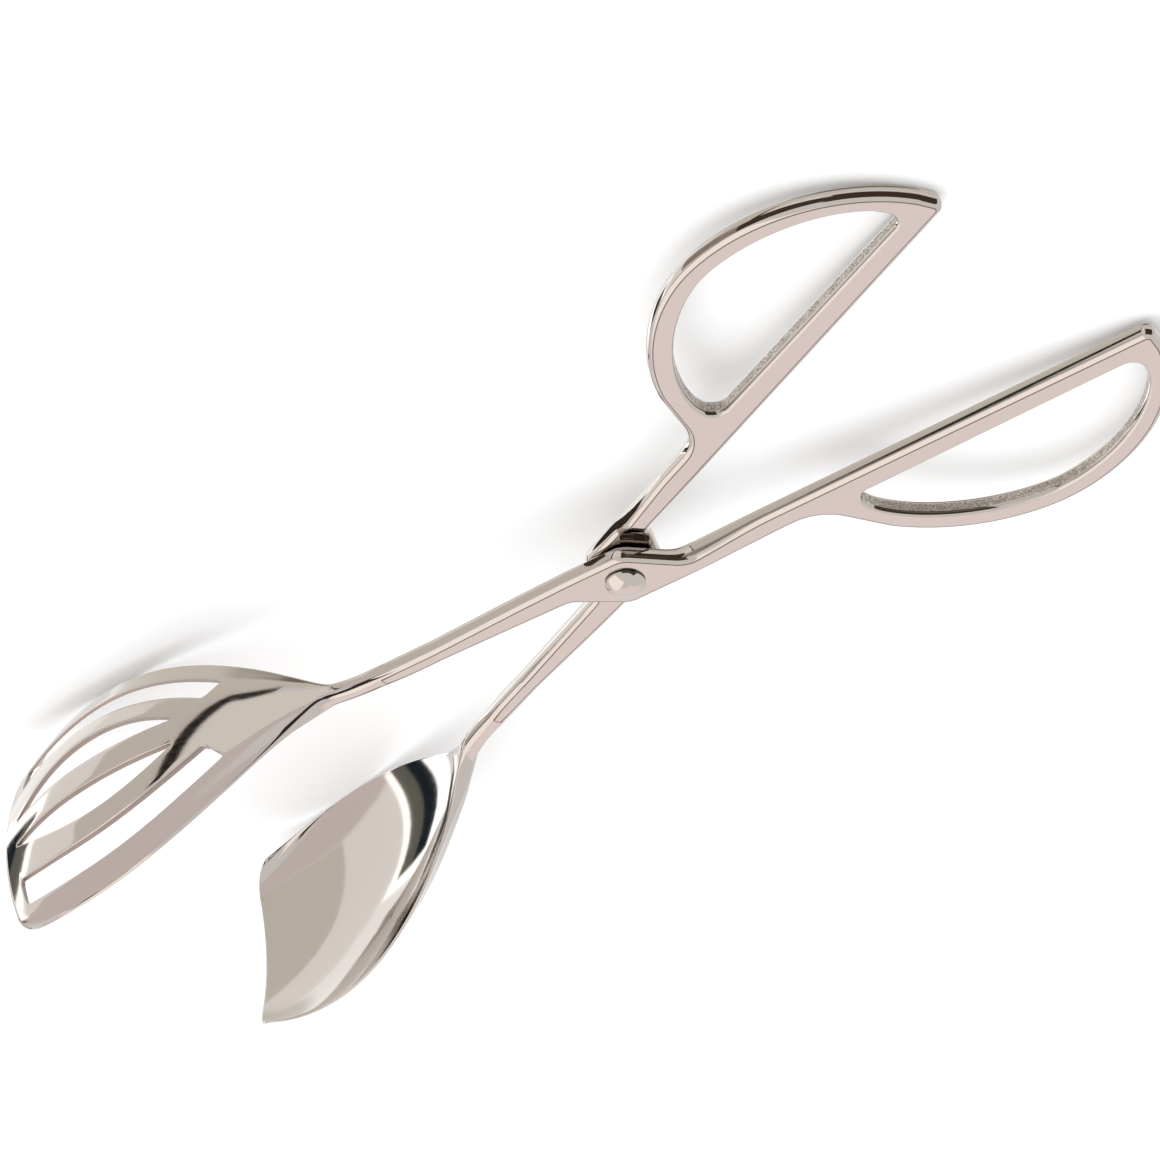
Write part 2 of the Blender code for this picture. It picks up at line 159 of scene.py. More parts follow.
bow_first = math.acos(((LOOP_MIDDLE - BOW_START) / LOOP_HALF) ** (LOOP_FULLNESS / 2))
arm_outline = rounded(
    [
        # the shank's edge on the loop's side, then the boss's
        (PAST_CUT, 1.35, 0), (-11.6, 0.6, 3.5), (-3, -BOSS_HALF, 4), (7.1, -BOSS_HALF, 10),
        # the loop
        (25, WAIST, 10), (37, WAIST, 9),
        *bow(LOOP_MIDDLE, LOOP_HALF, LOOP_DEEP, LOOP_FULLNESS, INNER_EDGE, bow_first, BOW_LAST, BOW_COUNT),
        (LOOP_MIDDLE + LOOP_HALF, INNER_EDGE, LOOP_CORNER), (11.9, INNER_EDGE, 4.5),
        # the boss's other edge, then the shank's
        (3.3, BOSS_HALF, 4.5), (-9, BOSS_HALF, 25), (-20, 6.15, 40),
        (SHANK_CUT - 0.35, SHANK_OUTER - 0.01, 60), (PAST_CUT, SHANK_OUTER - 0.2, 0),
    ]
)
print("points of the arm's outline:", len(arm_outline))

# %% The outlines of its openings
OPENING_EDGE, OPENING_RISE, OPENING_CORNER = -7.6, 0.5, 2.6  # the straight edge, its rise and its corners
OPENING_MIDDLE, OPENING_HALF, OPENING_DEEP, OPENING_FULLNESS = 74.0, 29.8, 21.5, 1.73
OPENING_FIRST, OPENING_LAST, OPENING_COUNT = math.radians(16), math.radians(164), 130
RIVET_COUNT = 64

hole_outline = rounded(
    [
        (OPENING_MIDDLE - OPENING_HALF, OPENING_EDGE, OPENING_CORNER),
        *bow(
            OPENING_MIDDLE, OPENING_HALF, OPENING_DEEP, OPENING_FULLNESS, OPENING_EDGE,
            OPENING_FIRST, OPENING_LAST, OPENING_COUNT,
        ),
        (OPENING_MIDDLE + OPENING_HALF, OPENING_EDGE + OPENING_RISE, OPENING_CORNER),
    ]
)
rivet_angles = [2 * math.pi * n / RIVET_COUNT for n in range(RIVET_COUNT)]
eye_radius = RIVET_SHANK + FIT_GAP
rivet_hole = [Vector((eye_radius * math.cos(a), eye_radius * math.sin(a))) for a in rivet_angles]
print("points of the openings' outlines:", len(hole_outline), len(rivet_hole))

# %% [markdown]
# ## Walls with worked edges
# Along every edge of the arms polishing leaves a bright facet, and between that facet and the flat face a
# small crease, rougher and coloured darker as painted shade. On polished steel these draw the light and dark
# lines along the arms, so they have to be real shape. A Bevel modifier gives one even edge only. So each wall
# is a grid laid along its outline: across the grid it goes over the crease, the facet, a small corner and the
# bulging side, and back the same way. One extra row inside each edge keeps the flat faces' shading truly
# flat.

# %% A grid rolled along a closed outline
BUFFED, SHEARED_PIT_SHADE, CREASE_SHADE, PUNCHED_SHADE = 0, 1, 2, 3  # the materials' places on an arm
MERGE = 2e-7  # points nearer than this, in metres, are one


def rolled(name, rows, columns, place, gap=None, finish=None):
    """A grid whose row i and column j go to place(i, j) in mm, with its last column on its first.

    Faces where gap(row, column) is true are left out, and finish(row, column) gives a face's material.
    """
    bpy.ops.object.select_all(action="DESELECT")
    bpy.ops.mesh.primitive_grid_add(x_subdivisions=columns, y_subdivisions=rows, size=1)
    obj = bpy.context.object
    obj.name = name
    spots = [(round((v.co.y + 0.5) * rows), round((v.co.x + 0.5) * columns)) for v in obj.data.vertices]
    bpy.context.tool_settings.mesh_select_mode = (False, False, True)
    bpy.ops.object.mode_set(mode="EDIT")
    bpy.ops.mesh.select_all(action="DESELECT")
    bpy.ops.object.mode_set(mode="OBJECT")
    for face in obj.data.polygons:
        row = min(spots[v][0] for v in face.vertices)
        column = min(spots[v][1] for v in face.vertices)
        face.select = bool(gap and gap(row, column))
        face.material_index = finish(row, column) if finish else BUFFED
    for vert, (i, j) in zip(obj.data.vertices, spots):
        vert.co = Vector(place(i, j % columns)) * MM
    bpy.ops.object.mode_set(mode="EDIT")
    bpy.ops.mesh.delete(type="FACE")
    bpy.ops.mesh.select_all(action="SELECT")
    bpy.ops.mesh.remove_doubles(threshold=MERGE)
    bpy.ops.object.mode_set(mode="OBJECT")
    return obj


# %% The edges' profiles
def arc(radius, first, last, steps):
    """(inset, height) along an arc while its normal turns from first to last, measured from upright."""
    angles = [first + (last - first) * n / steps for n in range(1, steps + 1)]
    return [
        (radius * (math.sin(first) - math.sin(a)), radius * (math.cos(a) - math.cos(first)))
        for a in angles
    ]


def arm_edge():
    """(inset, height) from the side's middle to the flat face, and how many of the points the side has."""
    level, lowest = math.pi / 2, math.pi / 2 - WALL_TURN
    steep, shallow = CHAMFER_TILT + CHAMFER_TURN, CHAMFER_TILT - CHAMFER_TURN
    corner_height = CORNER * (math.cos(steep) - math.cos(lowest))
    side_height = PLATE / 2 - corner_height - CHAMFER * math.sin(CHAMFER_TILT)
    points = [(0, 0)] + arc(side_height / math.sin(WALL_TURN), level, lowest, SIDE_STEPS)
    side = len(points)
    inset, height = points[-1]
    points += [(inset + a, height + b) for a, b in arc(CORNER, lowest, steep, CORNER_STEPS)]
    inset, height = points[-1]
    facet = arc(CHAMFER / 2 / math.sin(CHAMFER_TURN), steep, shallow, FACET_STEPS)
    points += [(inset + a, height + b) for a, b in facet[:-1]]
    inset += facet[-1][0]
    points.append((inset - CREASE / 2, PLATE / 2 - CREASE / 2 * math.tan(CHAMFER_TILT)))
    points.append((inset, PLATE / 2 - CREASE_DEPTH))
    points += [(inset + CREASE / 2, PLATE / 2), (inset + CREASE / 2 + FLAT_ROW, PLATE / 2)]
    return points, side


def opening_edge(radius):
    """(inset, height) of an opening's edge: a straight side and a rounded corner."""
    half = PLATE / 2
    corner = [(a, half - radius + b) for a, b in arc(radius, math.pi / 2, 0, OPENING_STEPS)]
    return [(0, 0), (0, half - radius), *corner, (radius + FLAT_ROW, half)]


edge_points, side_count = arm_edge()
opening_points = opening_edge(HOLE_EDGE)
print("points across an arm's edge and an opening's:", len(edge_points), len(opening_points))

# %% A wall along an outline
MITRE_LIMIT = 0.3  # keeps a sharp corner's points from flying off


def wall(name, outline, inward, edge, finish):
    """The wall that stands on an outline. Inward is 1 where metal lies to its right, else -1.

    Finish gives the material's number for rows that aren't buffed, counted from either face.
    """
    profile = list(reversed(edge)) + [(inset, -height) for inset, height in edge[1:]]
    count = len(outline)
    corners = []
    for n in range(count):
        before = (outline[n] - outline[n - 1]).normalized()
        after = (outline[(n + 1) % count] - outline[n]).normalized()
        side = (before + after).normalized()
        reach = 1 / max(MITRE_LIMIT, side.dot(after))
        corners.append((outline[n], Vector((side.y, -side.x)) * inward * reach))

    def place(i, j):
        inset, height = profile[i]
        spot = corners[j][0] + corners[j][1] * inset
        return spot.x, spot.y, height

    rows = len(profile) - 1

    def worked(row, _):
        return finish.get(min(row, rows - 1 - row), BUFFED)

    return rolled(name, rows, count, place, finish=worked)


# %% [markdown]
# ## Neck and bowl
# Behind the boss the square shank turns into a thin hollow bowl. A cube shaped by hand under a
# Subdivision Surface would mirror in lumps, so neck and bowl are lofted: one closed section after the
# other, from the shank's rectangle to the wide shell. Width and depth grow as quarter sines, so the bowl
# leaves the neck with no corner. The grid's lines run along the slots' edges, so each slot is simply a
# set of faces left out.

# %% Width, depth and place of the bowl along the arm
def swell(x, peak, most, at_tip):
    """A quarter sine from 0 at the neck's end to most at its peak, then a parabola to the tip."""
    if x > NECK_END:
        return 0
    if x > peak:
        return most * math.sin(math.pi / 2 * (NECK_END - x) / (NECK_END - peak))
    return most - (most - at_tip) * ((peak - x) / (peak - BOWL_TIP)) ** 2


def half_width(x):
    return swell(x, BOWL_WIDEST, BOWL_HALF_WIDTH, TIP_HALF_WIDTH)


def depth(x):
    return swell(x, BOWL_DEEPEST, BOWL_DEPTH, TIP_DEPTH)


def rim_side(x):
    """The rims' place across the arm."""
    shank = (SHANK_INNER + SHANK_OUTER) / 2
    curve = RIM_CREST[1] - (x - RIM_CREST[0]) ** 2 / (2 * RIM_RADIUS)
    return shank + (curve - shank) * smooth(x, *RIM_BLEND)


def tall(x):
    """Half of a section's height."""
    return math.hypot(PLATE / 2, half_width(x))


print("half width and depth at the widest place:", half_width(BOWL_WIDEST), round(depth(BOWL_WIDEST), 2))


# %% Thickness of the wall, and its points
RIM_ROUND_MOST = 0.9  # a rim's rounding takes at most this share of half its wall


def thick(x):
    """Half of the wall's thickness in the section's middle."""
    value = NECK_HALF_THICK + (BOWL_HALF_THICK - NECK_HALF_THICK) * smooth(x, *BOWL_BLEND)
    value += (TIP_HALF_THICK - BOWL_HALF_THICK) * smooth(x, BOWL_WIDEST, BOWL_TIP)
    return value + ((SHANK_OUTER - SHANK_INNER) / 2 - NECK_HALF_THICK) * smooth(x, *SHANK_BLEND)


def wall_half(x, up):
    """Half of the wall's thickness at a height. The bowl's wall thins towards its rim."""
    return thick(x) * (1 - RIM_THIN * smooth(abs(up) / tall(x), *THIN_ACROSS) * smooth(x, *THIN_ALONG))


def rim_radius(x):
    """Rounding of the section's corners: the neck is rounder than the shank and the rim."""
    neck = smooth(x, *ROUND_GROWS) * (1 - smooth(x, *ROUND_FADES))
    return min(RIM_EDGE + (NECK_ROUND - RIM_EDGE) * neck, RIM_ROUND_MOST * wall_half(x, tall(x)))


def shell(x, up, across, form=SLOTTED_FORM):
    """A point of neck or bowl: along the arm, up from the bowl's middle line and across its wall."""
    along_tip, along_rim, thinned = form
    share = (x - LOFT_START) / (BOWL_TIP - LOFT_START)
    bend = 1 - (up / tall(x)) ** 2
    rim = tall(x) - rim_radius(x)
    inward = max(0, min(abs(up), rim) - (rim - along_tip)) / along_tip
    tip = TIP_BOW * bend - along_rim * (1 - math.sqrt(max(0, 1 - inward**2)))
    across += thinned * (thick(x) - wall_half(x, up))
    lift = ARM_LEVEL * (1 - smooth(x, *LEVEL_BLEND))
    return x - tip * share**TIP_FADE, rim_side(x) + depth(x) * bend + across, up + lift


# %% Grid lines of the bowl
LINE_CELLS = (3, 4, 5, 5, 14)  # columns between middle, inner slot's sides, outer slot's sides and rim
NECK_LINES = (0, 0.14, 0.2, 0.4, 0.7, 1)  # the six lines' shares of the neck's height
LINE_BLENDS = ((-82, -94), (-82, -94), (-78, -87), (-76, -83))  # where the slots' lines leave those shares
ROW_KEYS = (0, 56, 68, 122, 134)  # rows at the cut, outer and inner slots' necks, their tips and the bowl's
TIP_ROWS = 5  # rows that round the tip's edge
CREASE_ROWS = 14  # rows of the neck that the crease's painted shade runs along before it crosses the face
ROWS = ROW_KEYS[-1] + TIP_ROWS
# Places of the rows at the slots' necks, on the six lines.
OUTER_ROW = (*[-88.2] * 3, OUTER_SLOT_NECK[1] + SLOT_EDGE, OUTER_SLOT_NECK[0] + SLOT_EDGE, -85.0)
INNER_ROW = (*[INNER_SLOT[0] + SLOT_EDGE] * 3, -96.0, -94.4, -94.6)


def shank_share(x):
    """1 where the section has the shank's worked edges, 0 where it has plain round ones."""
    return 1 - smooth(x, *EDGES_FADE)


def line(number, x):
    """Height of a lengthwise line: 0 the middle, 1 and 2 the inner slot, 3 and 4 the outer, 5 the rim."""
    shank = shank_share(x)
    flat = tall(x) - rim_radius(x) * (1 - shank) - (PLATE / 2 - edge_points[side_count - 1][1]) * shank
    neck = NECK_LINES[number] * flat
    if number in (0, 5):
        return neck
    share = min(max((INNER_SLOT[0] - x) / (INNER_SLOT[0] - INNER_SLOT[1]), 0), 1)
    bulge = INNER_SLOT_END + INNER_SLOT_BULGE * 4 * share * (1 - share)
    slots = (
        MIDDLE_STRIP_HALF - SLOT_EDGE,
        MIDDLE_STRIP_HALF + bulge + SLOT_EDGE,
        half_width(x) - RIM_STRIP - OUTER_SLOT_WIDTH - SLOT_EDGE,
        half_width(x) - RIM_STRIP + SLOT_EDGE,
    )[number - 1]
    return neck + (slots - neck) * smooth(x, *LINE_BLENDS[number - 1])


def row_place(number, row):
    """Place along the arm of a row on one line. Rows bend so that they meet the slots' ends."""
    if row == CREASE_ROWS + 1:
        return row_place(number, CREASE_ROWS) - CREASE
    slot_tip = INNER_SLOT[1] if number < 3 else OUTER_SLOT_TIP
    places = (LOFT_START, OUTER_ROW[number], INNER_ROW[number], slot_tip - SLOT_EDGE, BOWL_TIP + TIP_EDGE)
    for (first, last), (start, end) in zip(zip(ROW_KEYS, ROW_KEYS[1:]), zip(places, places[1:])):
        if row <= last:
            return start + (end - start) * (row - first) / (last - first)
    return places[-1]


# %% Points between the grid lines
def spread(value, row):
    """(x, up) at a column value: whole numbers are grid lines, negative ones the lower half."""
    number = min(int(abs(value)), 4)
    part = abs(value) - number
    if number == 4:
        part = math.sin(math.pi / 2 * part)
    x = row_place(number, row) * (1 - part) + row_place(number + 1, row) * part
    up = line(number, x) * (1 - part) + line(number + 1, x) * part
    return x, math.copysign(up, value)


def slot_spot(value, row):
    """(x, up) of a grid point, with the outer slots' corners rounded."""
    x, up = spread(value, row)
    if abs(value) in (3, 4) and row in (ROW_KEYS[1], ROW_KEYS[3]):
        x += SLOT_CORNER * (-1 if row == ROW_KEYS[1] else 1)
        up += math.copysign(SLOT_CORNER, value) * (1 if abs(value) == 3 else -1)
    return x, up


# %% One closed section: outer wall, upper rim, inner wall, lower rim
TIP_SHRINK_MOST = 0.85  # the tip's rounding takes at most this share of half its wall

half_columns = [n + c / cells for n, cells in enumerate(LINE_CELLS) for c in range(cells)] + [5]
wall_columns = [-v for v in reversed(half_columns[1:])] + half_columns
rim_columns = range(side_count, len(edge_points))
section = [(1, 1, "wall", v) for v in wall_columns]
section += [(1, 1, "edge", v) for v in rim_columns] + [(-1, 1, "edge", v) for v in reversed(rim_columns)]
section += [(-1, 1, "wall", v) for v in reversed(wall_columns)]
section += [(-1, -1, "edge", v) for v in rim_columns] + [(1, -1, "edge", v) for v in reversed(rim_columns)]


def bowl_point(row, column, form=SLOTTED_FORM):
    """A point of the bowl's grid, with the last rows rolled over the tip's edge."""
    side, upper, kind, value = section[column]
    x, up = slot_spot(value if kind == "wall" else 5 * upper, min(row, ROW_KEYS[-1]))
    half, radius, shank = wall_half(x, up), rim_radius(x), shank_share(x)
    turn = math.pi / 2 * max(0, row - ROW_KEYS[-1]) / TIP_ROWS
    shrink = min(TIP_EDGE, TIP_SHRINK_MOST * half) * (1 - math.cos(turn))
    bulge, side_top = edge_points[side_count - 1]
    across = half - shank * bulge * min(1, abs(up) / side_top) ** 2
    if kind == "edge":
        inset, height = edge_points[value]
        angle = math.pi / 2 * min(1, (value + 1 - side_count) / (len(edge_points) - 1 - side_count))
        rim_inset = radius * (1 - math.cos(angle))
        if value == len(edge_points) - 1:
            rim_inset += min(FLAT_ROW, (half - radius) / 2)
        rim_height = tall(x) - radius + radius * math.sin(angle)
        across = half - shank * inset - (1 - shank) * rim_inset
        up = upper * (shank * (height + tall(x) - PLATE / 2) + (1 - shank) * rim_height)
    across = side * across * (half - shrink) / half
    up *= (tall(x) - shrink) / tall(x)
    along, out, height = shell(x, up, across, form)
    return along - TIP_EDGE * math.sin(turn), out, height


print("bowl's grid:", ROWS, "rows,", len(section), "columns")

# %% Slots and the crease's painted shade in that grid
SLOT_RANGES = {"outer": (3, 4, ROW_KEYS[1]), "inner": (1, 2, ROW_KEYS[2])}  # two lines and the first row
CREASE_FIRST = len(edge_points) - 4  # an edge's points from here to the last but one lie in the crease with painted shade


def in_slot(row, column):
    """Whether a face of the bowl's grid lies in a slot."""
    after = (column + 1) % len(section)
    if section[column][2] != "wall" or section[after][2] != "wall":
        return False
    value = abs(section[column][3] + section[after][3]) / 2
    for low, high, first in SLOT_RANGES.values():
        if low < value < high and first <= row < ROW_KEYS[3]:
            return True
    return False


def in_crease(row, column):
    """The material of a face of the bowl's grid: the creases with their painted shade meet across the neck,
    where the flat ends.
    """
    spots = [section[c % len(section)] for c in (column, column + 1)]
    last = len(edge_points) - (1 if row == CREASE_ROWS else 2)
    inside = all(kind == "edge" and CREASE_FIRST <= value <= last for _, _, kind, value in spots)
    return CREASE_SHADE if inside and row <= CREASE_ROWS else BUFFED


# %% Walls of the slots
def slot_wall(kind, half):
    """The wall of one slot, from the bowl's outside over two rounded edges to its inside."""
    low, high, first = SLOT_RANGES[kind]
    cells = LINE_CELLS[low]
    across = [low + n / cells for n in range(cells + 1)]
    loop = [(high, r) for r in range(first, ROW_KEYS[3])]
    loop += [(v, ROW_KEYS[3]) for v in reversed(across[1:])]
    loop += [(low, r) for r in range(ROW_KEYS[3], first, -1)]
    loop += [(v, first) for v in across[:-1]]
    spots = [Vector(slot_spot(half * v, r)) for v, r in loop]
    arcs = [math.pi / 2 * n / SLOT_STEPS for n in range(SLOT_STEPS + 1)]
    path = [(1, a) for a in arcs] + [(-1, a) for a in reversed(arcs)]

    def place(i, j):
        side, angle = path[i]
        along = (spots[(j + 1) % len(spots)] - spots[j - 1]).normalized()
        spot = spots[j] + Vector((-along.y, along.x)) * half * SLOT_EDGE * math.sin(angle)
        half_wall = wall_half(*spots[j])
        return shell(spot.x, spot.y, side * (half_wall - SLOT_EDGE * (1 - math.cos(angle))))

    rows = len(path) - 1

    # the wall's middle row carries painted shade inside the slot
    def worked(row, _):
        return PUNCHED_SHADE if row == rows // 2 else BUFFED

    return rolled("slot", rows, len(loop), place, finish=worked)


# %% [markdown]
# ## Putting an arm together
# The walls and the bowl are joined and their touching points merged. The plate's wall is cut open at the
# neck, the flat faces are filled, and the neck is sewn to the plate point by point. Bridge Edge Loops
# could do that too, but it picks its own pairs, and a pair across an edge would dent the mirror. Last
# comes the step beside the boss, which lets two crossing arms have their loops at one level. It is steep
# on the face towards the other arm and slow on the outer face. The plate is cut into narrow strips there,
# so that it can bend.

# %% Fill the flat faces, and cut them
NEAR = 1e-3  # points nearer to a place than this, in mm, lie on it
CUT_MERGE = 1e-7  # metres


def fill_flats(bm):
    """Closes the plate's upper and lower face, between the outline and its two holes."""
    for side in (1, -1):
        rim = [v for v in bm.verts if v.is_boundary and abs(v.co.z / MM - side * PLATE / 2) < NEAR]
        ends = [v for v in rim if v.co.x / MM < SHANK_CUT + NEAR]
        middle = (SHANK_INNER + SHANK_OUTER) / 2 * MM
        bm.edges.new(sorted(ends, key=lambda v: abs(v.co.y - middle))[:2])
        known = set(rim)
        edges = [e for e in bm.edges if e.is_boundary and known.issuperset(e.verts)]
        edges += [e for e in bm.edges if e.is_wire]
        bmesh.ops.triangle_fill(bm, use_beauty=True, edges=edges)


def cut(bm, place, normal, beyond=BOWL_TIP, clear=False):
    """Cuts the faces that lie wholly beyond a place along X, and clears what is behind the cut if asked."""
    faces = [f for f in bm.faces if all(v.co.x > beyond * MM for v in f.verts)]
    geom = list(dict.fromkeys(item for f in faces for item in (f, *f.edges, *f.verts)))
    bmesh.ops.bisect_plane(
        bm, geom=geom, dist=CUT_MERGE, plane_co=Vector(place) * MM, plane_no=normal, clear_inner=clear
    )


# %% Sew the neck to the plate
def sew(bm):
    """Faces between the plate's open end and the bowl's first section, each point to the nearest one."""
    ends = [v for v in bm.verts if v.is_boundary and abs(v.co.x / MM - SHANK_CUT) < NEAR]
    first = [v for v in bm.verts if v.is_boundary and abs(v.co.x / MM - LOFT_START) < NEAR]
    ring, partner = [], []
    for column in range(len(section)):
        spot = Vector(bowl_point(0, column)) * MM
        ring.append(min(first, key=lambda v: (v.co - spot).length))
        partner.append(min(ends, key=lambda v: (v.co - spot).yz.length))
    for n in range(len(section)):
        corners = [ring[n - 1], ring[n], partner[n], partner[n - 1]]
        face = bm.faces.new(corners[:3] if partner[n] is partner[n - 1] else corners)
        face.material_index = in_crease(0, n - 1)


# %% The step beside the boss
STRIP, STRIPS_FROM = 0.45, 5.6  # cuts across the arm, where the step bends it
STRIPS = math.ceil((OUTER_STEP_END - STRIPS_FROM) / STRIP) + 5  # a few beyond the step's end
BAND, BANDS_FROM, BANDS, BANDS_BEYOND = 0.6, -7.2, 24, 5.5  # cuts along the arm


def cut_strips(bm):
    """Cuts the plate into strips that can bend."""
    for n in range(STRIPS):
        cut(bm, (STRIPS_FROM + STRIP * n, 0, 0), (1, 0, 0))
    for n in range(BANDS):
        cut(bm, (0, BANDS_FROM + BAND * n, 0), (0, 1, 0), beyond=BANDS_BEYOND)


def level(x, y, z):
    """How far a point of the plate moves up. The face towards the other arm steps faster than the outer."""
    if x <= 0:
        return ARM_LEVEL
    inner, outer = (smooth(math.hypot(x, y), STEP_START, end) for end in (INNER_STEP_END, OUTER_STEP_END))
    return ARM_LEVEL + (LOOP_LEVEL - ARM_LEVEL) * (inner + (outer - inner) * (z / PLATE + 0.5))


# %% One whole arm
JOIN = 3e-7  # joined pieces' points nearer than this, in metres, are one


def arm(name, has_slots):
    """One arm, with the rivet's axis at the origin."""
    # rows 1 and 2 from either face are the crease, which carries painted shade
    outer = wall("outer_wall", arm_outline, -1, edge_points, {1: CREASE_SHADE, 2: CREASE_SHADE})
    straight = {len(opening_points) - 2: SHEARED_PIT_SHADE}
    hole = wall("hole_wall", hole_outline, 1, opening_points, straight)
    eye = wall("rivet_eye", rivet_hole, 1, opening_points, straight)
    form = SLOTTED_FORM if has_slots else SCOOP_FORM
    gap = in_slot if has_slots else None

    def place(row, column):
        return bowl_point(row, column, form)

    bowl = rolled("bowl", ROWS, len(section), place, gap, in_crease)
    slots = [slot_wall(kind, half) for kind in SLOT_RANGES for half in (1, -1)] if has_slots else []
    bm = bmesh.new()
    bm.from_mesh(outer.data)
    cut(bm, (SHANK_CUT, 0, 0), (1, 0, 0), clear=True)
    bm.from_mesh(hole.data)
    bm.from_mesh(eye.data)
    fill_flats(bm)
    cut_strips(bm)
    for vert in bm.verts:
        vert.co.z += level(*(vert.co / MM)) * MM
    for piece in (bowl, *slots):
        bm.from_mesh(piece.data)
    bmesh.ops.remove_doubles(bm, verts=bm.verts, dist=JOIN)
    sew(bm)
    tip = [e for e in bm.edges if e.is_boundary]
    bmesh.ops.contextual_create(bm, geom=tip)
    bmesh.ops.recalc_face_normals(bm, faces=bm.faces)
    left_open = sum(e.is_boundary for e in bm.edges)
    print(name, len(bm.faces), "faces;", len(tip), "edges closed at the tip;", left_open, "left open")
    for piece in (hole, eye, bowl, *slots):
        bpy.data.objects.remove(piece)
    bm.to_mesh(outer.data)
    bm.free()
    outer.name = name
    return outer


# %% [markdown]
# ## In place
# The frame gives the hinge's place and axis. The tongs lie on their bowls and loops, so the rivet leans a
# little. The loops sink towards their ends, each arm opens by half of the angle, and then everything is
# moved to the hinge. All of that goes into the meshes, and the objects stay at the origin.

# %% Turn, droop and place the arms
hinge = frame["joints"][0]
PIVOT = Vector(hinge["pos_m"])
LEAN = math.atan2(hinge["axis"][0], hinge["axis"][2])


def droop(obj):
    for vert in obj.data.vertices:
        vert.co.z -= LOOP_DROOP * max(0, vert.co.x - DROOP_START * MM)


def activate(obj):
    bpy.ops.object.select_all(action="DESELECT")
    obj.select_set(True)
    bpy.context.view_layer.objects.active = obj


def put_in_place(obj, turn):
    """Turns a piece about the rivet by some degrees, and lays it on the table."""
    opened = Matrix.Rotation(math.radians(turn), 4, "Z")
    obj.data.transform(Matrix.Translation(PIVOT) @ Matrix.Rotation(LEAN, 4, "Y") @ opened)
    activate(obj)
    bpy.ops.object.shade_smooth()


slotted = arm("slotted_arm_polished", True)
scoop = arm("scoop_arm_polished", False)
scoop.data.transform(Matrix.Rotation(math.pi, 4, "X"))
for piece, turn in ((slotted, -OPEN_ANGLE / 2), (scoop, OPEN_ANGLE / 2)):
    droop(piece)
    put_in_place(piece, turn)
print("hinge in mm:", [round(c / MM, 2) for c in PIVOT])
print("its lean:", round(math.degrees(LEAN), 2), "degrees")

# %% [markdown]
# ## The rivet
# The rivet's head is a low polished dome, and its tail is peened flat underneath. A rivet is round, so it
# is turned: a profile from the top of the dome down to the tail, carried round the axis. Spin does that
# too. The rolled grid is at hand and leaves no seam.

# %% Turn the rivet
HEAD_RADIUS, HEAD_DOME, HEAD_RIM = 3.7, 1.9, 0.3  # the head's radius, its height and that of its upright rim
RIM_ROUND, SHANK_ROUND = 0.12, 0.05  # roundings under the head's rim and at the shank's ends
TAIL_RADIUS, TAIL_DOME = 3.2, 0.7
DOME_STEPS, RIM_STEPS, RIVET_COLUMNS = 20, 5, 96


def rivet_profile():
    """(radius, height) from the dome's top to the tail's end."""
    seat = ARM_LEVEL + PLATE / 2 + FIT_GAP
    points = []
    ball = (HEAD_RADIUS**2 + (HEAD_DOME - HEAD_RIM) ** 2) / (2 * (HEAD_DOME - HEAD_RIM))
    widest = math.asin(HEAD_RADIUS / ball)
    for n in range(1, DOME_STEPS + 1):
        angle = widest * n / DOME_STEPS
        points.append((ball * math.sin(angle), seat + HEAD_DOME - ball * (1 - math.cos(angle))))
    for n in range(1, RIM_STEPS + 1):
        angle = math.pi / 2 * n / RIM_STEPS
        inset, drop = RIM_ROUND * (1 - math.cos(angle)), RIM_ROUND * math.sin(angle)
        points.append((HEAD_RADIUS - inset, seat + RIM_ROUND - drop))
    points += [(RIVET_SHANK + SHANK_ROUND, seat), (RIVET_SHANK, seat - SHANK_ROUND)]
    points += [(RIVET_SHANK, SHANK_ROUND - seat), (RIVET_SHANK + SHANK_ROUND, -seat)]
    for n in range(1, DOME_STEPS):
        angle = math.pi / 2 * (1 - n / DOME_STEPS)
        points.append((TAIL_RADIUS * math.sin(angle), -seat - TAIL_DOME * math.cos(angle)))
    return points


def turned(name, profile):
    """A profile carried round the rivet's axis, open at both ends."""
    def place(i, j):
        angle = 2 * math.pi * j / RIVET_COLUMNS
        return profile[i][0] * math.cos(angle), profile[i][0] * math.sin(angle), profile[i][1]

    return rolled(name, len(profile) - 1, RIVET_COLUMNS, place)


rivet = turned("pivot_rivet_polished", rivet_profile())
activate(rivet)
bpy.ops.object.mode_set(mode="EDIT")
bpy.ops.mesh.select_all(action="SELECT")
bpy.ops.mesh.fill_holes(sides=0)
bpy.ops.mesh.normals_make_consistent(inside=False)
bpy.ops.object.mode_set(mode="OBJECT")
put_in_place(rivet, 0)
print("rivet:", len(rivet.data.polygons), "faces")

# %% [markdown]
# ## On the frame
# Each finer piece rides on the body of the CAD piece that it stands for, so it moves with the hinge, and
# it takes that piece's place in the picture.

# %% Hang the pieces on the frame
for piece, body, node in (
    (slotted, "slotted_side", "slotted_arm"),
    (scoop, "scoop_side", "scoop_arm"),
    (rivet, "slotted_side", "pivot_rivet"),
):
    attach(piece, body)
    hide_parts(node)
    print(piece.name, "rides on", body)

# %% [markdown]
# ## Steel
# The whole object is stainless steel, which mirrors in a warm grey. Most of it is buffed on cloth wheels
# almost to a mirror, so what the eye sees is the surroundings, slightly softened. Where the wheel doesn't
# reach, the steel stays as the tools left it: torn by the press in the finger openings and punched in the
# slots. These walls and the crease between face and facet are rougher, and also darker as painted shade;
# the torn pits' bottoms get painted shade and their tops a painted glint. One function makes the even
# finishes, and one makes the torn one.

# %% Colours and nodes
NOISE_RANGE = {"From_Min": 0.3, "From_Max": 0.7}  # nearly all of a noise lies between these


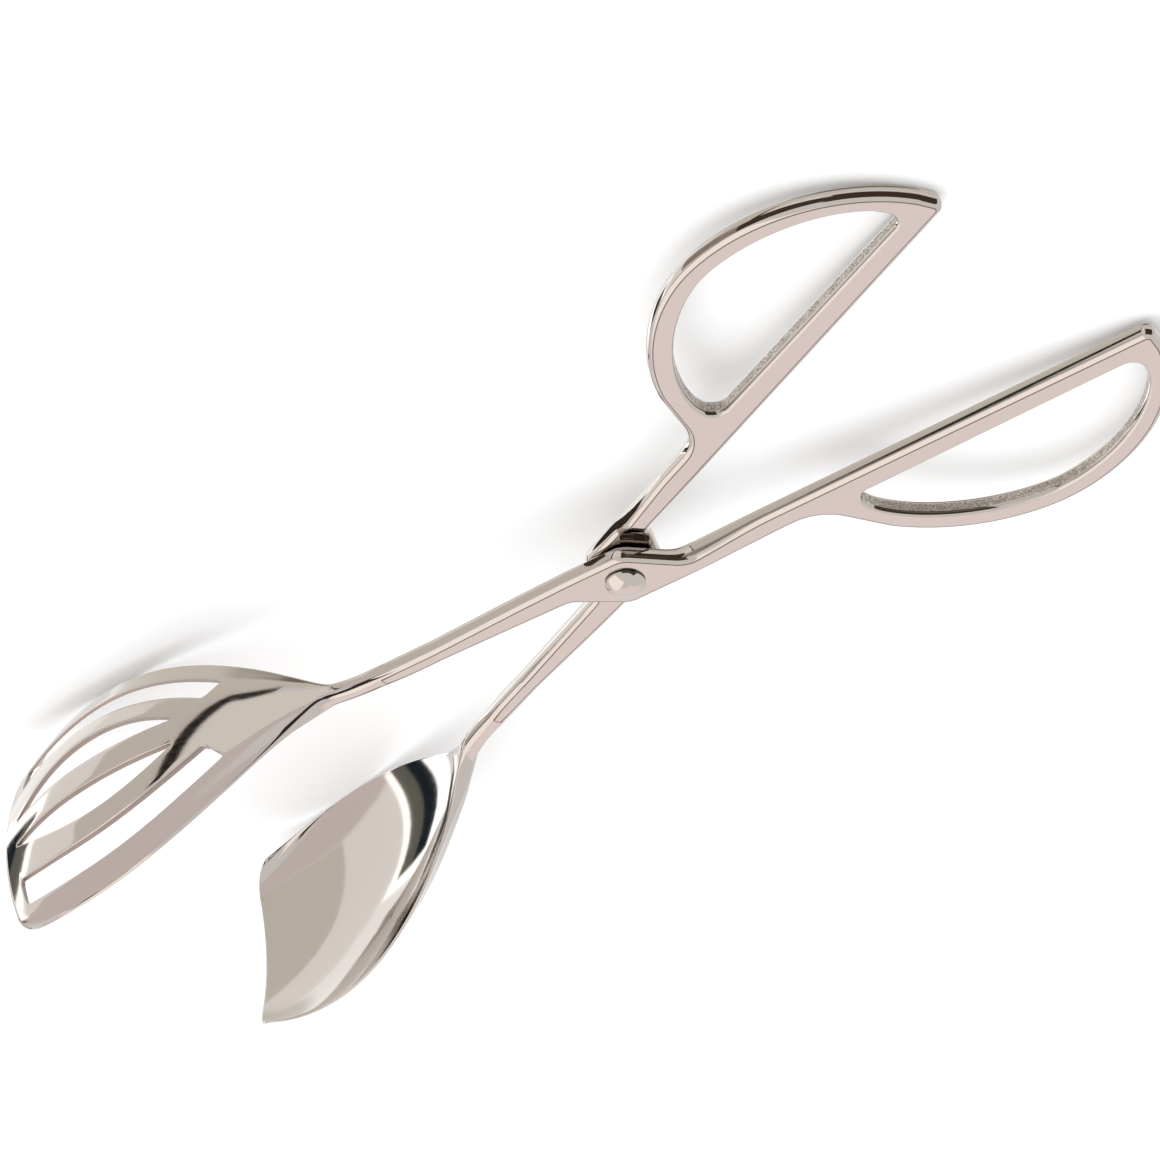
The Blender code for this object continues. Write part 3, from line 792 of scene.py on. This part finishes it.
def colour(text):
    """Linear colour of an sRGB hex code."""
    parts = [int(text[n : n + 2], 16) / 255 for n in (1, 3, 5)]
    return (*[p / 12.92 if p <= 0.04045 else ((p + 0.055) / 1.055) ** 2.4 for p in parts], 1)


def add(tree, kind, links=(), **settings):
    """Adds a node. Settings are properties or input sockets, and links are (socket, output) pairs."""
    node = tree.nodes.new(kind)
    for name, value in settings.items():
        if hasattr(node, name):
            setattr(node, name, value)
        else:
            node.inputs[name.replace("_", " ")].default_value = value
    for socket, output in links:
        tree.links.new(output, node.inputs[socket])
    return node


def pattern(tree, size, stretch, detail):
    """Noise with features about that many millimetres across, stretched along the object's axes."""
    spot = add(tree, "ShaderNodeTexCoord").outputs["Object"]
    scaled = add(tree, "ShaderNodeMapping", [("Vector", spot)], Scale=[1 / s for s in stretch])
    return add(tree, "ShaderNodeTexNoise", [("Vector", scaled.outputs[0])],
               Scale=1 / (size * MM), Detail=detail)


def metal(name):
    """A new metal: the material, its nodes and its shader."""
    material = bpy.data.materials.new(name)
    material.use_nodes = True
    shader = material.node_tree.nodes["Principled BSDF"]
    shader.inputs["Metallic"].default_value = 1
    return material, material.node_tree, shader


# %% Even finishes
STREAK, STREAK_STRETCH = 0.5, (14, 1, 1)  # real buffing marks are far finer, and are drawn coarser to show
GRAIN, GRAIN_STRETCH = 0.3, (20, 1, 1)  # the same
WAVE, WAVE_STRETCH, WAVE_DEPTH = 9.0, (2, 1, 1), 0.004  # slow waves that a hand-held wheel leaves


def steel(name, tone, dull, grain_depth):
    """Tone is what the steel mirrors, dull the range of its roughness, and the depth is in mm."""
    material, tree, shader = metal(name)
    shader.inputs["Base Color"].default_value = colour(tone)
    streaks = pattern(tree, STREAK, STREAK_STRETCH, 3).outputs["Fac"]
    rough = add(tree, "ShaderNodeMapRange", [("Value", streaks)],
                **NOISE_RANGE, To_Min=dull[0], To_Max=dull[1])
    waves = pattern(tree, WAVE, WAVE_STRETCH, 1).outputs["Fac"]
    slow = add(tree, "ShaderNodeBump", [("Height", waves)], Strength=1, Distance=WAVE_DEPTH * MM)
    grain = pattern(tree, GRAIN, GRAIN_STRETCH, 2).outputs["Fac"]
    fine = add(tree, "ShaderNodeBump", [("Height", grain), ("Normal", slow.outputs[0])],
               Strength=1, Distance=grain_depth * MM)
    tree.links.new(rough.outputs[0], shader.inputs["Roughness"])
    tree.links.new(fine.outputs[0], shader.inputs["Normal"])
    return material


# Buffed on cloth wheels: nearly a mirror, with a slight haze and slow waves that bend what it mirrors.
buffed = steel("stainless_steel_buffed", "#C0B9B3", (0.05, 0.09), 0.00004)
# Painted shade in the crease: a dark, rougher line that parts the face from the facet.
crease_shade = steel("stainless_steel_crease_shade", "#6F655D", (0.3, 0.45), 0.001)
# Punched and tumbled: a rougher soft grey wall, darker as painted shade inside the slot, which draws a thin
# line round each slot.
punched_shade = steel("stainless_steel_punched_shade", "#9A9088", (0.3, 0.45), 0.001)
print("even finishes:", buffed.name, crease_shade.name, punched_shade.name)

# %% Torn finish, with painted shade in its pits
PIT, PIT_DEPTH, PIT_ROUGHNESS = 0.32, 0.08, 0.6  # coarser than the real pits, to show


def torn_steel_with_pit_shade(name, dark, bright):
    """The side of an opening as the press tore it: coarse pits, with painted shade in their bottoms and a
    painted grey glint on their tops.
    """
    material, tree, shader = metal(name)
    noise = pattern(tree, PIT, (1, 1, 1), 2)
    noise.inputs["Roughness"].default_value = PIT_ROUGHNESS
    pits = noise.outputs["Fac"]
    share = add(tree, "ShaderNodeMapRange", [("Value", pits)], **NOISE_RANGE)
    # painted shade and glint: the colour is dark where the bump sinks and pale where it rises
    tone = add(tree, "ShaderNodeMix", [(0, share.outputs[0])], data_type="RGBA")
    tone.inputs[6].default_value, tone.inputs[7].default_value = colour(dark), colour(bright)
    rough = add(tree, "ShaderNodeMapRange", [("Value", pits)], **NOISE_RANGE, To_Min=0.6, To_Max=0.35)
    bump = add(tree, "ShaderNodeBump", [("Height", pits)], Strength=0.6, Distance=PIT_DEPTH * MM)
    tree.links.new(tone.outputs[2], shader.inputs["Base Color"])
    tree.links.new(rough.outputs[0], shader.inputs["Roughness"])
    tree.links.new(bump.outputs[0], shader.inputs["Normal"])
    return material


sheared_pit_shade = torn_steel_with_pit_shade("stainless_steel_sheared_pit_shade", "#7A7068", "#D6CEC7")
for piece, finishes in (
    (slotted, (buffed, sheared_pit_shade, crease_shade, punched_shade)),
    (scoop, (buffed, sheared_pit_shade, crease_shade)),
    (rivet, (buffed,)),
):
    for finish in finishes:
        piece.data.materials.append(finish)
    print(piece.name, "has", len(finishes), "finishes")

# %% [markdown]
# ## Camera
# The place and lens of the photograph's camera follow from the outlines of both loops and both bowls. The
# picture is turned nearly upside down against the table, so the camera's up points down into it.

# %% Camera
EYE = Vector((0.59617, 0.53246, 0.52765))  # metres
RIGHT = Vector((0.678862, -0.734255, -0.003861))
UP = Vector((0.400084, 0.374301, -0.836559))
SENSOR, LENS, SHIFT = 36.0, 162.09, (-0.03815, -0.01169)

camera_data = bpy.data.cameras.new("camera")
camera = bpy.data.objects.new("camera", camera_data)
bpy.context.scene.collection.objects.link(camera)
back = RIGHT.cross(UP).normalized()
camera.matrix_world = Matrix(
    [(*row, place) for row, place in zip(zip(RIGHT, UP, back), EYE)] + [(0, 0, 0, 1)]
)
camera_data.sensor_width = SENSOR
camera_data.lens = LENS
camera_data.shift_x, camera_data.shift_y = SHIFT
camera_data.clip_end = 50
bpy.context.scene.camera = camera
bpy.context.scene.view_settings.view_transform = "Standard"
print("camera at", round(EYE.length, 2), "m from the tongs' middle on the table")

# %% [markdown]
# ## Studio
# Polished steel has hardly any look of its own: it shows the room. So the room is built as for a
# photograph of silverware, as a light tent: white cloth all round with pale panels, two poles, a dark rod
# and a flag, and a dark open front where the camera stands. The tent is part of the world and only
# mirrored rays see it, so the light that falls on the floor stays plain and even. Floor and lamp are
# hidden from mirrored rays, and the tent's own table and roof stand in for them. The floor keeps the
# object's shadow.

# %% Floor
def matt(name, tone):
    """Matt paper or card: it spreads light evenly and mirrors nothing."""
    material = bpy.data.materials.new(name)
    material.use_nodes = True
    shader = material.node_tree.nodes["Principled BSDF"]
    shader.inputs["Base Color"].default_value = colour(tone)
    shader.inputs["Roughness"].default_value = 0.9
    return material


bpy.ops.mesh.primitive_plane_add(size=6)
floor = bpy.context.object
floor.name = "floor"
floor.data.materials.append(matt("matt_white_paper", "#F4F4F4"))
floor.visible_glossy = False
print("floor:", floor.dimensions.x, "m wide")


# %% [markdown]
# ## Cards
# Small matt cards stand close to the tongs, where a dark line is wanted on one edge only. They are painted
# shade: dark sheets where the table beside the tongs lies in their shade. A panel in the tent is too far
# away for that: every edge with the same slope would mirror it. Only mirrored rays see the cards, so they
# leave no shadow.

# %% Cards
def card(name, tone, *corners):
    """A card with corners in mm, row by row. Only mirrored rays see it."""
    bpy.ops.mesh.primitive_plane_add(size=1)
    obj = bpy.context.object
    obj.name = name
    for vert, corner in zip(obj.data.vertices, corners):
        vert.co = Vector(corner) * MM
    obj.visible_camera = obj.visible_diffuse = obj.visible_shadow = False
    obj.data.materials.append(matt("matt_" + name, tone))
    print(name, "in mm:", corners)


def standing_card(name, tone, start, end, low, top):
    """A card that stands between two places, with its lower corners' heights and its top's."""
    card(name, tone, (*start, low[0]), (*end, low[1]), (*start, top), (*end, top))


# Painted shade along the outside of the scoop arm's loop: black towards its end, brown beside its middle.
loop_far, loop_middle, loop_near = (117.5, 46.5), (94.5, 55.3), (78.5, 52.3)
standing_card("loop_end_shade_card", "#4A3D36", loop_middle, loop_far, (0, 0), 5.5)
standing_card("loop_middle_shade_card", "#B3A8A2", loop_near, loop_middle, (0, 0), 5.5)
# Painted shade low beside the boss, for the step there.
standing_card("hinge_shade_card", "#3A302A", (12, 8), (12, 21), (0, 0), 9.5)
# Painted shade beside the slotted bowl's neck, for its dark edge.
standing_card("neck_shade_card", "#2F2621", (-38.9, 24.5), (-49.4, 28.6), (24.6, 27.9), 45)

# %% [markdown]
# ## The tent
# A direction is a turn from +X towards +Y and a rise above the table. A panel is a box in these two
# numbers, mixed over what hangs behind it. A panorama picture could light the metal as well, but no panel
# in it could be moved by a number.

# %% The tent's directions
world = bpy.data.worlds.new("light_tent")
bpy.context.scene.world = world
world.use_nodes = True
tree = world.node_tree
ray = add(tree, "ShaderNodeSeparateXYZ", [(0, add(tree, "ShaderNodeTexCoord").outputs["Generated"])])
turn = add(tree, "ShaderNodeMath", [(0, ray.outputs["Y"]), (1, ray.outputs["X"])], operation="ARCTAN2")
rise = add(tree, "ShaderNodeMath", [(0, ray.outputs["Z"])], operation="ARCSINE")
aim = add(tree, "ShaderNodeCombineXYZ", [("X", turn.outputs[0]), ("Y", rise.outputs[0])]).outputs[0]


def panel(behind, across, upright, tone, strength, soft):
    """Hangs a panel before what is behind, between two turns and two rises. All are degrees, also soft."""
    middle = [math.radians((a + b) / 2) for a, b in (across, upright)] + [0]
    half = [math.radians((b - a) / 2) for a, b in (across, upright)] + [10]
    offset = add(tree, "ShaderNodeVectorMath", [(0, aim)], operation="SUBTRACT")
    offset.inputs[1].default_value = middle
    apart = add(tree, "ShaderNodeVectorMath", [(0, offset.outputs[0])], operation="ABSOLUTE")
    outside = add(tree, "ShaderNodeVectorMath", [(0, apart.outputs[0])], operation="SUBTRACT")
    outside.inputs[1].default_value = half
    parts = add(tree, "ShaderNodeSeparateXYZ", [(0, outside.outputs[0])])
    most = add(tree, "ShaderNodeMath", [(0, parts.outputs["X"]), (1, parts.outputs["Y"])],
               operation="MAXIMUM")
    edge = add(tree, "ShaderNodeMapRange", [("Value", most.outputs[0])], interpolation_type="SMOOTHSTEP",
               From_Min=math.radians(soft), From_Max=-math.radians(soft))
    mixed = add(tree, "ShaderNodeMix", [(0, edge.outputs[0])], data_type="RGBA")
    mixed.inputs[6].default_value = (1, 1, 1, 1)
    mixed.inputs[7].default_value = [c * strength for c in colour(tone)[:3]] + [1]
    if behind is not None:
        tree.links.new(behind, mixed.inputs[6])
    return mixed.outputs[2]


# %% The tent's panels
ALL_ROUND = (-200, 200)  # past both ends of the circle, so that no edge shows
PANELS = (
    ((66, 165), (0, 17), "#FFF5F5", 0.91, 0.5),  # rosy cloth just above the table
    ((66, 97), (-45, 0), "#FFFDF7", 1.12, 0.5),  # table, first part
    ((97, 131), (-80, -0.5), "#FFFBF3", 0.88, 0.5),  # table, greyer middle
    ((131, 157), (-80, -0.5), "#FFFEFC", 1.2, 0.5),  # table, bright last part
    ((155, 188), (-50, -28), "#FFFFFF", 1.4, 2),  # white paper beyond that
    ((156.5, 188), (-32, 1), "#FFFFFF", 2.2, 0.8),  # bright cloth behind the poles
    ((160, 167.5), (-29, 5), "#77776F", 1, 0.6),  # grey pole
    ((167, 175), (-29, 5), "#1E2A32", 1, 0.6),  # black pole next to it
    ((98, 103), (-62, -3), "#2A2622", 1, 0.5),  # dark rod before the table
    ((112, 150), (21, 29), "#4A3C34", 1, 1.2),  # black flag below the roof, for the arms' corners
    (ALL_ROUND, (-95, -54), "#E6E2D9", 1.15, 6),  # table straight below
    (ALL_ROUND, (-95, -72), "#8C867E", 1, 4),  # its darker middle: painted shadow of the tongs on the table below them
    ((-20, 59), (-33, 48), "#4E4239", 1, 0.8),  # open front, where the camera stands
    ((-165, -92), (14, 60), "#FFF4F5", 1.28, 3),  # rosy backdrop opposite the camera, for the flat faces
    ((100, 200), (31, 95), "#FFF9F4", 1.6, 2),  # cream roof, for the arms' facets
)
tent = None
for across, *rest in PANELS:
    tent = panel(tent, across, *rest)
    if across[1] > 180 and across is not ALL_ROUND:
        tent = panel(tent, (across[0] - 360, across[1] - 360), *rest)
print("panels in the tent:", len(PANELS))

# %% World
FILL = 1.2  # strength of the even light from all round

rays = add(tree, "ShaderNodeLightPath")
either = add(tree, "ShaderNodeMath", operation="MAXIMUM",
             links=[(0, rays.outputs["Is Camera Ray"]), (1, rays.outputs["Is Glossy Ray"])])
seen = add(tree, "ShaderNodeMath", operation="MAXIMUM",
           links=[(0, either.outputs[0]), (1, rays.outputs["Is Transmission Ray"])])
plain = tree.nodes["Background"]
plain.inputs["Color"].default_value = (1, 1, 1, 1)
plain.inputs["Strength"].default_value = FILL
white = add(tree, "ShaderNodeBackground", Color=(1, 1, 1, 1), Strength=1.0)
mirrored = add(tree, "ShaderNodeBackground", [("Color", tent)], Strength=1.0)
lit = add(tree, "ShaderNodeMixShader",
          [(0, seen.outputs[0]), (1, plain.outputs[0]), (2, white.outputs[0])])
whole = add(tree, "ShaderNodeMixShader",
            [(0, rays.outputs["Is Glossy Ray"]), (1, lit.outputs[0]), (2, mirrored.outputs[0])])
tree.links.new(whole.outputs[0], tree.nodes["World Output"].inputs["Surface"])

# %% [markdown]
# ## Lamp
# One large soft box gives the floor its soft shadow. Its power follows from its size and the brightness
# of its face, so that a larger box is not a dimmer one.

# %% Lamp
LAMP_AIM, LAMP_DISTANCE = Vector((-0.564, 0.172, 0.808)), 1.2  # metres
LAMP_SIZE, LAMP_STRENGTH = 1.0, 1.3

lamp_data = bpy.data.lights.new("soft_box", "AREA")
lamp_data.size = LAMP_SIZE
lamp_data.energy = LAMP_STRENGTH * math.pi * LAMP_SIZE**2
lamp = bpy.data.objects.new("soft_box", lamp_data)
bpy.context.scene.collection.objects.link(lamp)
lamp.visible_glossy = False
lamp.location = LAMP_AIM * LAMP_DISTANCE
lamp.rotation_euler = (-LAMP_AIM).to_track_quat("-Z", "Y").to_euler()
print("soft box of", round(lamp_data.energy, 2), "W")
